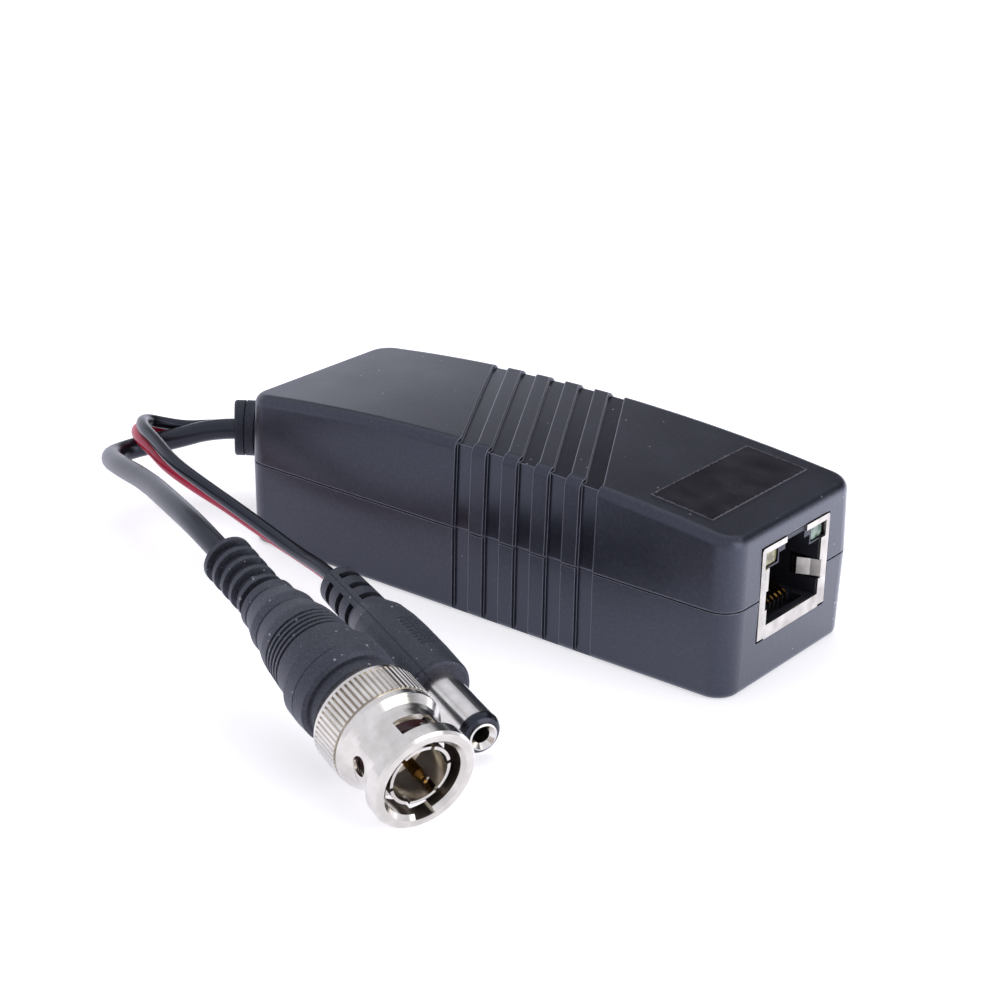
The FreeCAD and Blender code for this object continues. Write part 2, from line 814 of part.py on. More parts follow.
def bnc_body():
    """The turned inner body: slotted contact ring, seat, flange, neck and crimp ferrule."""
    flange_end = flange_start + flange_thickness
    neck_end = boot_start + boot_bore_depth
    ferrule_end = neck_end + ferrule_length
    seat_radius = sleeve_bore_radius - running_gap
    flange_radius = chamber_radius - running_gap
    profile = [
        (contact_tip, contact_bore_radius), (contact_tip, contact_outer_radius),
        (seat_start, contact_outer_radius), (seat_start, seat_radius),
        (flange_start, seat_radius), (flange_start, flange_radius),
        (flange_end, flange_radius), (flange_end, neck_radius),
        (neck_end, neck_radius), (neck_end, ferrule_radius), (ferrule_end, ferrule_radius),
        (ferrule_end, 0), (dielectric_end, 0), (dielectric_end, dielectric_radius),
        (seat_start + 0.3, dielectric_radius), (seat_start + 0.3, contact_bore_radius),
    ]
    body = turned(profile)
    slot_end = contact_tip + contact_slot_length
    slots = []
    for place in range(contact_slot_count):
        slot = box((-slot_end, -contact_slot_width / 2, 0), (0, contact_slot_width / 2, neck_radius))
        slot.rotate(V(0, 0, 0), V(1, 0, 0), -360 * place / contact_slot_count - contact_slot_turn)
        slots.append(slot)
    return body.cut(Part.makeCompound(slots))


def bnc_dielectric():
    front = seat_start + 0.3
    return turned([(front, pin_radius), (front, dielectric_radius), (dielectric_end, dielectric_radius),
                   (dielectric_end, pin_radius)])


def bnc_pin():
    cone_end = pin_cone_start - pin_cone_length
    return turned([(pin_tip, 0), (pin_tip, pin_tip_radius), (cone_end, pin_tip_radius + 0.05),
                   (pin_cone_start, pin_radius), (dielectric_end, pin_radius), (dielectric_end, 0)])


def bnc_gasket():
    front = seat_start - gasket_thickness
    return turned([(front, contact_outer_radius), (front, gasket_radius), (seat_start, gasket_radius),
                   (seat_start, contact_outer_radius)])


def wave_washer():
    """The spring between the body's flange and the slip washer, as a crinkled ring."""
    flange_end = flange_start + flange_thickness
    count = 3
    thickness = 0.3
    inner = neck_radius + 0.15
    outer = chamber_radius - 0.25
    crest = (wave_gap - thickness) / 2 - 0.05
    middle = flange_end + wave_gap / 2
    steps = 24
    rings = []
    for radius in (inner, outer):
        points = []
        for step in range(steps):
            turn = 2 * math.pi * step / steps
            back = middle - crest * math.cos(count * turn) - thickness / 2
            points.append(V(-back, radius * math.sin(turn), radius * math.cos(turn)))
        curve = Part.BSplineCurve()
        curve.interpolate(points, PeriodicFlag=True)
        rings.append(curve.toShape())
    surface = Part.makeRuledSurface(rings[0], rings[1])
    return surface.extrude(V(-thickness, 0, 0)).Solids[0]


def slip_washer():
    start = flange_start + flange_thickness + wave_gap
    end = start + slip_thickness
    inner = neck_radius + running_gap
    outer = chamber_radius - 0.3
    return turned([(start, inner), (start, outer), (end, outer), (end, inner)])


def bnc_boot():
    """The moulded boot: a nose behind the sleeve, a bell, a finely grooved cone, two steps and a ribbed tail."""
    bore_end = boot_start + boot_bore_depth
    ferrule_end = bore_end + ferrule_length
    profile = [(boot_nose_start, neck_radius), (boot_nose_start, boot_nose_radius - 0.15),
               (boot_nose_start + 0.15, boot_nose_radius), (boot_start, boot_nose_radius),
               (boot_start + 0.1, boot_nose_radius + 0.4), (boot_start + 0.5, 6.42),
               (18.6, 6.5), (18.7, 6.38), (18.8, 6.5), (20.9, 6.42), (21.15, 5.8)]
    for band in range(boot_band_count):
        station = boot_band_start + boot_band_pitch * band
        radius = 5.48 - 0.07 * band
        profile += [(station, radius), (station + 0.08, radius - 0.22), (station + 0.28, radius - 0.22),
                    (station + 0.36, radius)]
    profile += [(28.6, 5.06), (29.0, 4.98), (31.1, 4.35), (31.2, 4.2), (31.35, 4.4), (32.5, 4.4),
                (32.9, 4.3), (35.1, 3.6), (35.2, 3.45), (35.35, 3.65), (36.4, 3.64), (36.55, 2.45)]
    for rib in range(boot_rib_count):
        start = boot_rib_start + boot_rib_pitch * rib
        crest = 3.18 + 0.02 * rib
        profile += [(start, 2.45), (start + 0.2, crest), (start + boot_rib_width - 0.15, crest)]
        if rib < boot_rib_count - 1:
            profile += [(start + boot_rib_width, 2.45)]
    profile += [(boot_length, 3.0), (boot_length, 0), (ferrule_end, 0), (ferrule_end, ferrule_radius),
                (bore_end, ferrule_radius), (bore_end, neck_radius)]
    return turned(profile)


def dc_moulding():
    """The moulded grip and its slotted strain relief."""
    body = turned([
        (moulding_start, barrel_radius), (moulding_start, moulding_front_radius - 0.5),
        (moulding_start + 0.15, moulding_front_radius - 0.15), (moulding_start + 0.5, moulding_front_radius),
        (moulding_start + 5.0, moulding_radius), (moulding_shoulder - 3.0, moulding_radius),
        (moulding_shoulder, moulding_radius - 0.1), (moulding_flare, moulding_flare_radius),
        (moulding_waist, moulding_waist_radius), (moulding_length - 0.3, moulding_tail_radius),
        (moulding_length, moulding_tail_radius - 0.3), (moulding_length, 0), (barrel_length, 0),
        (barrel_length, barrel_collar_radius), (moulding_start + collar_setback, barrel_collar_radius),
        (moulding_start + collar_setback, barrel_radius),
    ])
    for row in range(slot_rows):
        back = moulding_length - slot_from_end - slot_pitch * row
        for quarter in range(4):
            middle = 90 * quarter + slot_turn
            slot = sector(moulding_radius, back - slot_length / 2, back + slot_length / 2,
                          middle - slot_span / 2, middle + slot_span / 2)
            body = body.cut(slot.cut(cylinder_x(slot_core_radius, -back - 2, -back + 2)))
    return body


def dc_barrel():
    """The plated barrel, with the wider collar that the moulding grips."""
    collar_start = moulding_start + collar_setback
    return turned([(barrel_start, barrel_bore_radius), (barrel_start, barrel_radius),
                   (collar_start, barrel_radius), (collar_start, barrel_collar_radius),
                   (barrel_length, barrel_collar_radius), (barrel_length, barrel_bore_radius)])


def dc_insulator():
    """The black ring at the tip, which runs on between the two contacts."""
    front = inner_lip_length
    return turned([(front, inner_sleeve_radius), (front, inner_lip_radius + 0.15),
                   (front + 0.2, barrel_radius - 0.4), (front + 0.5, barrel_radius - 0.15),
                   (front + 0.85, barrel_radius),
                   (barrel_start, barrel_radius), (barrel_start, barrel_bore_radius),
                   (barrel_length, barrel_bore_radius), (barrel_length, inner_sleeve_radius)])


def dc_inner_sleeve():
    """The flared inner contact that takes the socket's centre pin."""
    return turned([(0, inner_lip_radius - 0.2), (0.1, inner_lip_radius), (inner_lip_length, inner_lip_radius),
                   (inner_lip_length, inner_sleeve_radius), (barrel_length, inner_sleeve_radius),
                   (barrel_length, 0), (inner_lip_length + inner_depth, 0),
                   (inner_lip_length + inner_depth, inner_bore_radius), (0.6, inner_bore_radius)])


def lead_routes():
    """The routes of the three leads, from the bend relief's end face to their plugs."""
    centre, heading = relief_tip()
    coax_end = plug_point(bnc_face, bnc_yaw, bnc_pitch, boot_length)
    coax_near = plug_point(bnc_face, bnc_yaw, bnc_pitch, boot_length + 6.5)
    coax = [relief_exit(coax_offset), relief_exit(coax_offset) + heading * relief_lead,
            V(-57.0, -11.4, 10.0), V(-60.7, -14.0, 8.8), V(-62.3, -17.7, 8.3), V(-60.3, -21.8, 9.2),
            V(-52.6, -27.1, 11.5), V(-41.0, -33.3, 14.2), V(-28.2, -41.3, 16.7), coax_near, coax_end]
    up = V(0, -wire_spread * 0.62, wire_spread * 0.78)
    black_end = plug_point(dc_tip, dc_yaw, dc_pitch, moulding_length, up)
    black_near = plug_point(dc_tip, dc_yaw, dc_pitch, moulding_length + 3.0, up)
    red_end = plug_point(dc_tip, dc_yaw, dc_pitch, moulding_length, up * -1)
    red_near = plug_point(dc_tip, dc_yaw, dc_pitch, moulding_length + 3.6, up * -1)
    black = [relief_exit(black_offset), relief_exit(black_offset) + heading * relief_lead,
             V(-57.9, -8.3, 10.7), V(-60.1, -10.8, 11.4), V(-61.2, -13.9, 12.7), V(-57.3, -18.1, 13.7),
             V(-51.6, -21.0, 13.7), V(-45.1, -24.3, 13.2), V(-38.5, -25.1, 11.8), V(-32.2, -25.0, 9.9),
             V(-25.8, -25.6, 8.4), V(-19.6, -26.7, 7.4), black_near, black_end]
    red = [relief_exit(red_offset), relief_exit(red_offset) + heading * relief_lead,
           V(-59.1, -7.2, 9.1), V(-61.6, -10.0, 9.6), V(-62.9, -13.4, 10.9), V(-59.2, -17.2, 11.6),
           V(-53.5, -19.8, 11.5), V(-48.6, -22.0, 11.0), V(-42.9, -22.3, 9.6), V(-37.1, -22.0, 8.1),
           V(-30.6, -22.9, 6.9), V(-22.5, -24.3, 6.1), red_near, red_end]
    return coax, black, red


def tail_start(offset):
    """A lead's first two points behind the relief's collar."""
    y, z = offset
    first = V(collar_face(), y, relief_height + z)
    return [first, first + V(tail_lead, 0, 0)]


def tail_routes():
    """The leads inside the housing, from the relief's collar to their pads on the board."""
    rest = board_top() + coax_radius
    coax_y, rise = coax_pad
    coax = tail_start(coax_tail_offset) + [
        V(board_end - tail_lead, coax_y, rest + rise), V(board_end + coax_radius / 3, coax_y, rest),
        V(tail_pad_place, coax_y, rest)]
    routes = [coax]
    for offset, pad in ((black_tail_offset, black_pad), (red_tail_offset, red_pad)):
        y, arch = pad
        route = tail_start(offset) + [V(board_end - tail_lead, y, board_top() + arch),
                                      V(tail_pad_place, y, board_top() + arch * 1.02),
                                      V(tail_pad_place, y, board_top())]
        routes.append(route)
    return routes


def coax_conductors():
    """The coax's bared inner conductor and its twisted braid, bent down to their pads."""
    rest = board_top() + coax_radius
    wires = []
    for name, (y, reach) in (("coax core", core_pad), ("coax braid", braid_pad)):
        route = [V(tail_pad_place, y, rest), V(tail_pad_place + reach, y, rest),
                 V(tail_pad_place + reach, y, board_top())]
        wires.append(cord(name, route, conductor_radius))
    return wires


def solder_joints():
    """A fillet of solder round each lead on the board."""
    pads = [(tail_pad_place + core_pad[1], core_pad[0], conductor_radius),
            (tail_pad_place + braid_pad[1], braid_pad[0], conductor_radius),
            (tail_pad_place, black_pad[0], wire_radius), (tail_pad_place, red_pad[0], wire_radius)]
    joints = []
    for x, y, radius in pads:
        foot = V(x, y, board_top())
        cone = Part.makeCone(radius + solder_spread, radius + solder_spread / 4, solder_height, foot)
        joints.append(cone.cut(Part.makeCylinder(radius, 2 * solder_height, foot)))
    return joints


def build_nodes():
    """Every node's solids, by name."""
    coax_route, black_route, red_route = lead_routes()
    coax_tail, black_tail, red_tail = tail_routes()
    nodes = {
        "lower_housing": [lower_housing()],
        "upper_housing": [upper_housing()],
        "label": [label()],
        "circuit_board": [circuit_board()],
        "jack_shield": [jack_shield()],
        "jack_insulator": [jack_insulator()],
        "jack_contacts": jack_contacts(),
        "left_led": [led(-1)],
        "right_led": [led(1)],
        "led_leads": led_leads(),
        "balun_core": [balun_core()],
        "balun_windings": balun_windings(),
        "surge_suppressors": surge_suppressors(),
        "coax_tail": [cord("coax tail", coax_tail, coax_radius)],
        "coax_conductors": coax_conductors(),
        "black_tail": [cord("black tail", black_tail, wire_radius)],
        "red_tail": [cord("red tail", red_tail, wire_radius)],
        "solder_joints": solder_joints(),
        "bend_relief": [bend_relief()],
        "coax_cable": [cord("coax cable", coax_route, coax_radius)],
        "black_wire": [cord("black wire", black_route, wire_radius)],
        "red_wire": [cord("red wire", red_route, wire_radius)],
    }
    bnc_makers = {
        "coupling_sleeve": coupling_sleeve, "bnc_body": bnc_body, "bnc_dielectric": bnc_dielectric,
        "bnc_pin": bnc_pin, "bnc_gasket": bnc_gasket, "wave_washer": wave_washer,
        "slip_washer": slip_washer, "bnc_boot": bnc_boot,
    }
    for name, make in bnc_makers.items():
        nodes[name] = [placed(make(), bnc_face, bnc_yaw, bnc_pitch)]
    dc_makers = {
        "dc_moulding": dc_moulding, "dc_barrel": dc_barrel, "dc_insulator": dc_insulator,
        "dc_inner_sleeve": dc_inner_sleeve,
    }
    for name, make in dc_makers.items():
        nodes[name] = [placed(make(), dc_tip, dc_yaw, dc_pitch)]
    return nodes


def write_nodes(nodes):
    os.makedirs("parts", exist_ok=True)
    for name, solids in nodes.items():
        shape = solids[0] if len(solids) == 1 else Part.makeCompound(solids)
        found = shape.Solids
        if len(found) != len(solids) or not all(solid.isValid() and solid.Volume > 0 for solid in found):
            print("CHECK", name, "solids", len(found), [solid.isValid() for solid in found])
        shape.exportStep("parts/%s.step" % name)
        bounds = shape.BoundBox
        print("%-18s %2d solids %10.2f mm3  x %.2f..%.2f  y %.2f..%.2f  z %.2f..%.2f" % (
            name, len(found), shape.Volume, bounds.XMin, bounds.XMax,
            bounds.YMin, bounds.YMax, bounds.ZMin, bounds.ZMax))


write_nodes(build_nodes())
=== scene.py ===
import math

import bmesh
import bpy
from mathutils import Matrix, Vector

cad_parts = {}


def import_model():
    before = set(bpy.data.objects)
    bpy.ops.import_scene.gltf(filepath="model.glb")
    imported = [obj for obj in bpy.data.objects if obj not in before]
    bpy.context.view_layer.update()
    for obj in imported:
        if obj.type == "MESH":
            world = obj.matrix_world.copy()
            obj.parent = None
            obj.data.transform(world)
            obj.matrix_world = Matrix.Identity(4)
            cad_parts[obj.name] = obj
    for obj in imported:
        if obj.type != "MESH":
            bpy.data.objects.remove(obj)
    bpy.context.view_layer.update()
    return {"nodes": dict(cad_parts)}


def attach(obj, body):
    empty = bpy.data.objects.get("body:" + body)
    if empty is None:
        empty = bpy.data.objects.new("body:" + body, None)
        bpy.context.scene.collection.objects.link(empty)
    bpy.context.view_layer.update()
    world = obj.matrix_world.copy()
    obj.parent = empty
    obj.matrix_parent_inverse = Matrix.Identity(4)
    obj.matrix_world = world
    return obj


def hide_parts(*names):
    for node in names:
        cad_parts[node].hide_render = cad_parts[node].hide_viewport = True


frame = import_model()
nodes = frame["nodes"]

# Sizes and places are in millimetres and angles in degrees, and MM turns them to metres
MM = 0.001

# Where the two plugs lie, as in the part's source: front point, yaw and pitch
bnc_place = ((31.28, -62.97, 6.50), -18.5, 11.8)
dc_place = ((26.12, -45.59, 3.20), -23.77, 5.16)

# The label on the housing's top, and how wide its frayed edge is at least and at most
label_middle = (30.0, -0.1)
label_half = (4.65, 11.3)
label_fray = (0.04, 0.26)

# The grip grooves: the middle one slants over the top from groove_near, at the top's near edge, to
# groove_far at its far edge, and runs straight down from there; grooves_reach is half their spread
groove_near = 8.2
groove_far = -7.2
top_edge = 13.4
groove_pitch = 5.0
groove_half_width = 1.3
grooves_reach = 12.4

# How far from an edge of the housing its pale line, a painted highlight, reaches
edge_radius = 0.24

# The power plug's grip, along and round the plug's own axis
grip_radius = 4.4
mould_line_roll = -36.0
mould_line_half_width = 0.12
dots_roll = 18.0
dots_middle = 19.0
dots_half_length = 3.6
dots_half_width = 1.9
dot_pitch = 0.8
dot_height = 0.45

# Dust: the largest fleck's radius, how far flecks stray from even rows, and its two greys
fleck_radius = 0.22
fleck_stray = 0.3
fleck_grey = "#a3a3a9"
veil_grey = "#8d8e96"

# The studio's light is a little cool
studio_white = "#eaedfb"
camera_white = "#ffffff"


def colour(code):
    """An sRGB hex value as linear light."""
    channels = [int(code[i:i + 2], 16) / 255 for i in (1, 3, 5)]
    return (*[c / 12.92 if c <= 0.04045 else ((c + 0.055) / 1.055) ** 2.4 for c in channels], 1.0)


def link(tree, node, sources):
    """Link a node's inputs to other nodes or to their outputs."""
    for socket, source in sources.items():
        output = source.outputs[0] if isinstance(source, bpy.types.Node) else source
        tree.links.new(output, node.inputs[socket])


def add(tree, kind, links=None, **settings):
    """Add a shader node, set its properties and sockets, and link its inputs."""
    node = tree.nodes.new("ShaderNode" + kind)
    for name, value in settings.items():
        if name.startswith("in_"):
            socket = name[3:]
            key = int(socket) if socket.isdigit() else socket.replace("_", " ")
            node.inputs[key].default_value = value
        else:
            setattr(node, name, value)
    link(tree, node, links or {})
    return node


def start_finish(name, **shader):
    """A new material with its surface shader; returns it, its nodes, the shader and the coordinates."""
    made = bpy.data.materials.new(name)
    made.use_nodes = True
    tree = made.node_tree
    tree.nodes.clear()
    surface = add(tree, "BsdfPrincipled", **shader)
    add(tree, "OutputMaterial", {"Surface": surface})
    place = add(tree, "TexCoord").outputs["Object"]
    return made, tree, surface, place


def fed_by(surface, socket):
    """The output that is linked to a shader's socket."""
    return surface.inputs[socket].links[0].from_socket


def plug_axes(tree, place, plug, roll=0.0):
    """Coordinates on a plug's own axes, +X forward from its front point, turned about X by a roll."""
    point, yaw, pitch = plug
    turn = Matrix.Rotation(math.radians(yaw), 3, "Z") @ Matrix.Rotation(math.radians(pitch), 3, "Y")
    turn = turn @ Matrix.Rotation(math.radians(-roll), 3, "X")
    return add(tree, "Mapping", {"Vector": place}, vector_type="TEXTURE",
               in_Location=Vector(point) * MM, in_Rotation=turn.to_euler("XYZ"))


def moulded(name, dark, light, gloss=(0.4, 0.5), grain_mm=0.35, grain_depth_mm=0.02, dust=0.0,
            dust_mm=1.7, veil=0.0, cloud_mm=9.0, detail=None, **shader):
    """Moulded plastic or rubber: the mould's grain, an uneven tone and gloss, and settled dust.

    The grain of such moulds is about 0.1 mm, too fine to show, so it is drawn as coarse as grain_mm.
    A higher dust puts a fleck in more of the cells of dust_mm, and veil is the strength of the finer
    dust that lies in the grain's hollows. Detail is a function that adds more to the surface.
    """
    made, tree, surface, place = start_finish(name, in_Specular_Tint=colour("#e2e7ff"), **shader)
    grain = add(tree, "TexNoise", {"Vector": place}, in_Scale=1 / (grain_mm * MM), in_Detail=3.0,
                in_Roughness=0.6)
    cloud = add(tree, "TexNoise", {"Vector": place}, in_Scale=1 / (cloud_mm * MM), in_Detail=4.0,
                in_Roughness=0.55)
    spread = add(tree, "MapRange", {"Value": cloud}, in_1=0.3, in_2=0.7)
    tone = add(tree, "Mix", {0: spread}, data_type="RGBA", in_6=colour(dark), in_7=colour(light)).outputs[2]
    if veil:
        hollow = add(tree, "MapRange", {"Value": grain}, in_1=0.48, in_2=0.75, in_3=0.0, in_4=veil)
        tone = add(tree, "Mix", {0: hollow, 6: tone}, data_type="RGBA", in_7=colour(veil_grey)).outputs[2]
    if dust:
        strewn = add(tree, "VectorMath", {0: grain.outputs["Color"], 2: place}, operation="MULTIPLY_ADD",
                     in_1=(fleck_stray * MM,) * 3)
        fleck = add(tree, "TexVoronoi", {"Vector": strewn}, in_Scale=1 / (dust_mm * MM))
        size = add(tree, "MapRange", {"Value": fleck.outputs["Color"]}, in_1=1 - dust, in_2=1.0, in_3=0.0,
                   in_4=fleck_radius / dust_mm)
        seen = add(tree, "Math", {0: fleck.outputs["Distance"], 1: size}, operation="LESS_THAN")
        tone = add(tree, "Mix", {0: seen, 6: tone}, data_type="RGBA", in_7=colour(fleck_grey)).outputs[2]
    rough = add(tree, "MapRange", {"Value": spread}, in_3=gloss[0], in_4=gloss[1])
    bump = add(tree, "Bump", {"Height": grain}, in_Distance=grain_depth_mm * MM)
    link(tree, surface, {"Base Color": tone, "Roughness": rough, "Normal": bump})
    if detail:
        detail(tree, surface, place)
    return made


def grooves_and_edges(tree, surface, place):
    """The grip grooves without grain and polished, and a narrow pale line along each edge of the housing: a
    painted highlight.
    """
    tone = fed_by(surface, "Base Color")
    rough = fed_by(surface, "Roughness")
    bump = fed_by(surface, "Normal").node
    spot = add(tree, "SeparateXYZ", {0: place})
    middle = add(tree, "MapRange", {"Value": spot.outputs[1]}, in_1=-top_edge * MM, in_2=top_edge * MM,
                 in_3=groove_near * MM, in_4=groove_far * MM)
    across = add(tree, "Math", {0: spot.outputs[0], 1: middle}, operation="SUBTRACT")
    nearest = add(tree, "Math", {0: across}, operation="PINGPONG", in_1=groove_pitch * MM / 2)
    within = add(tree, "Math", {0: nearest}, operation="LESS_THAN", in_1=groove_half_width * MM)
    apart = add(tree, "Math", {0: across}, operation="ABSOLUTE")
    among = add(tree, "Math", {0: apart}, operation="LESS_THAN", in_1=grooves_reach * MM)
    groove = add(tree, "Math", {0: within, 1: among}, operation="MULTIPLY")
    polish = add(tree, "Mix", {0: groove, 2: rough}, data_type="FLOAT", in_3=0.23)
    grained = add(tree, "Math", {1: groove}, operation="SUBTRACT", in_0=1.0)
    rounded = add(tree, "Bevel", samples=8, in_Radius=edge_radius * MM)
    link(tree, bump, {"Strength": grained, "Normal": rounded})
    flat = add(tree, "NewGeometry").outputs["Normal"]
    agree = add(tree, "VectorMath", {0: rounded, 1: flat}, operation="DOT_PRODUCT").outputs["Value"]
    # Painted highlight: every edge, convex and concave alike, is mixed towards pale grey as if light caught
    # it
    edge = add(tree, "MapRange", {"Value": agree}, in_1=0.86, in_2=0.985, in_3=0.9, in_4=0.0)
    painted_edge_highlight = add(tree, "Mix", {0: edge, 6: tone}, data_type="RGBA", in_7=colour("#8e8f99"))
    link(tree, surface, {"Base Color": painted_edge_highlight.outputs[2], "Roughness": polish})


def dots_and_mould_line(tree, surface, place):
    """The power plug's patch of raised grip dots, and the ridge where its mould closed."""
    below = fed_by(surface, "Normal")
    across = add(tree, "SeparateXYZ", {0: plug_axes(tree, place, dc_place, mould_line_roll)})
    off = add(tree, "Math", {0: across.outputs[1]}, operation="ABSOLUTE")
    ridge = add(tree, "MapRange", {"Value": off}, in_1=0.0, in_2=mould_line_half_width * MM, in_3=1.0,
                in_4=0.0)
    local = add(tree, "SeparateXYZ", {0: plug_axes(tree, place, dc_place, dots_roll)})
    turn = add(tree, "Math", {0: local.outputs[1], 1: local.outputs[2]}, operation="ARCTAN2")
    arc = add(tree, "Math", {0: turn}, operation="MULTIPLY", in_1=grip_radius * MM)
    sheet = add(tree, "CombineXYZ", {0: local.outputs[0], 1: arc})
    dots = add(tree, "TexVoronoi", {"Vector": sheet}, in_Scale=1 / (dot_pitch * MM), in_Randomness=0.0)
    dome = add(tree, "MapRange", {"Value": dots.outputs["Distance"]}, in_1=0.15, in_2=0.4, in_3=1.0, in_4=0.0)
    along = add(tree, "Math", {0: local.outputs[0]}, operation="ADD", in_1=dots_middle * MM)
    reach = add(tree, "Math", {0: along}, operation="ABSOLUTE")
    within = add(tree, "Math", {0: reach}, operation="LESS_THAN", in_1=dots_half_length * MM)
    side = add(tree, "Math", {0: arc}, operation="ABSOLUTE")
    beside = add(tree, "Math", {0: side}, operation="LESS_THAN", in_1=dots_half_width * MM)
    patch = add(tree, "Math", {0: within, 1: beside}, operation="MULTIPLY")
    studs = add(tree, "Math", {0: dome, 1: patch}, operation="MULTIPLY")
    line = add(tree, "Math", {0: ridge}, operation="MULTIPLY", in_1=0.5)
    height = add(tree, "Math", {0: line, 1: studs}, operation="MAXIMUM")
    over = add(tree, "Bump", {"Height": height, "Normal": below}, in_Distance=dot_height * MM)
    link(tree, surface, {"Normal": over})


def plated(name, dull, bright, gloss=(0.32, 0.16), mark_mm=0.6, mark_depth_mm=0.004, plug=None):
    """Plated metal: dull patches, and fine marks that run round the axis on a turned piece.

    Real turning marks are a few hundredths of a millimetre apart, too fine to show, so they are drawn
    at mark_mm.
    """
    patch_mm = 3.0
    made, tree, surface, place = start_finish(name, in_Metallic=1.0)
    patches = add(tree, "TexNoise", {"Vector": place}, in_Scale=1 / (patch_mm * MM), in_Detail=5.0,
                  in_Roughness=0.6)
    spread = add(tree, "MapRange", {"Value": patches}, in_1=0.3, in_2=0.65)
    tone = add(tree, "Mix", {0: spread}, data_type="RGBA", in_6=colour(dull), in_7=colour(bright))
    rough = add(tree, "MapRange", {"Value": spread}, in_3=gloss[0], in_4=gloss[1])
    where = place
    if plug:
        local = add(tree, "SeparateXYZ", {0: plug_axes(tree, place, plug)})
        across = add(tree, "CombineXYZ", {1: local.outputs[1], 2: local.outputs[2]})
        radius = add(tree, "VectorMath", {0: across}, operation="LENGTH")
        where = add(tree, "CombineXYZ", {0: local.outputs[0], 1: radius.outputs["Value"]})
    marks = add(tree, "TexNoise", {"Vector": where}, in_Scale=1 / (mark_mm * MM), in_Detail=2.0)
    bump = add(tree, "Bump", {"Height": marks}, in_Distance=mark_depth_mm * MM)
    link(tree, surface, {"Base Color": tone.outputs[2], "Roughness": rough, "Normal": bump})
    return made


def light_guide(name, shade, bright):
    """Tinted acrylic: cloudy, a quarter clear, with a soft gloss."""
    cloud_mm = 1.1
    made, tree, surface, place = start_finish(name, in_Roughness=0.22, in_Transmission_Weight=0.25)
    cloud = add(tree, "TexNoise", {"Vector": place}, in_Scale=1 / (cloud_mm * MM), in_Detail=2.0)
    spread = add(tree, "MapRange", {"Value": cloud}, in_1=0.38, in_2=0.62)
    tone = add(tree, "Mix", {0: spread}, data_type="RGBA", in_6=colour(shade), in_7=colour(bright))
    link(tree, surface, {"Base Color": tone.outputs[2]})
    return made


def label_film():
    """Printed film: smooth and near black, with a thin pale line where its cut edge has frayed."""
    fray_mm, cloud_mm, ripple_mm = 0.5, 4.0, 0.003
    made, tree, surface, place = start_finish("printed_label_film", in_Specular_IOR_Level=0.5)
    centre = Vector((*label_middle, 0)) * MM
    local = add(tree, "VectorMath", {0: place}, operation="SUBTRACT", in_1=centre)
    local = add(tree, "VectorMath", {0: local}, operation="ABSOLUTE")
    sides = add(tree, "SeparateXYZ", {0: local})
    fray = add(tree, "TexNoise", {"Vector": place}, in_Scale=1 / (fray_mm * MM), in_Detail=3.0)
    width = add(tree, "MapRange", {"Value": fray}, in_1=0.35, in_2=0.7, in_3=label_fray[0] * MM,
                in_4=label_fray[1] * MM)
    edges = []
    for socket, half in enumerate(label_half):
        inset = add(tree, "Math", {1: sides.outputs[socket]}, operation="SUBTRACT", in_0=half * MM)
        edges.append(add(tree, "Math", {0: inset, 1: width}, operation="LESS_THAN"))
    edge = add(tree, "Math", {0: edges[0], 1: edges[1]}, operation="MAXIMUM")
    cloud = add(tree, "TexNoise", {"Vector": place}, in_Scale=1 / (cloud_mm * MM), in_Detail=4.0)
    ink = add(tree, "Mix", {0: cloud}, data_type="RGBA", in_6=colour("#17141a"), in_7=colour("#221d26"))
    tone = add(tree, "Mix", {0: edge, 6: ink.outputs[2]}, data_type="RGBA", in_7=colour("#6e6c74"))
    rough = add(tree, "MapRange", {"Value": cloud}, in_1=0.3, in_2=0.7, in_3=0.2, in_4=0.3)
    ripple = add(tree, "Bump", {"Height": cloud}, in_Distance=ripple_mm * MM)
    link(tree, surface, {"Base Color": tone.outputs[2], "Roughness": rough, "Normal": ripple})
    return made


# Black ABS with a slight blue cast, moulded against a spark-eroded tool: a fine, dull grain that
# turns pale where it is seen at a low angle, with narrow pale lines along its edges that are painted
# highlights
case_abs = moulded("black_abs_spark_eroded", "#101117", "#17181f", gloss=(0.29, 0.35), grain_mm=0.4,
                   grain_depth_mm=0.02, dust=0.5, veil=0.06, detail=grooves_and_edges, in_IOR=1.54,
                   in_Specular_IOR_Level=0.62)
# Printed film: smoother and blacker than the housing round it, so that its outline reads
film = label_film()
# Soft PVC: dull bluish black that holds fine pale dust
boot_pvc = moulded("black_pvc_soft", "#26272c", "#34353c", gloss=(0.42, 0.52), grain_mm=0.3,
                   grain_depth_mm=0.03, dust=0.6, dust_mm=0.9, veil=0.18, in_Sheen_Weight=0.18,
                   in_Sheen_Roughness=0.5, in_Sheen_Tint=colour("#c8ccd8"))
# The same PVC, a shade darker, where fingers hold it: rows of small dots catch the light
grip_pvc = moulded("black_pvc_with_grip_dots", "#222328", "#303138", gloss=(0.42, 0.52), grain_mm=0.3,
                   grain_depth_mm=0.03, dust=0.55, dust_mm=1.0, veil=0.16, detail=dots_and_mould_line,
                   in_Sheen_Weight=0.14, in_Sheen_Roughness=0.5, in_Sheen_Tint=colour("#c8ccd8"))
# Rubber: the dullest black of all
relief_rubber = moulded("black_rubber", "#15161a", "#1f2025", gloss=(0.5, 0.6), grain_depth_mm=0.015,
                        dust=0.4, veil=0.1)
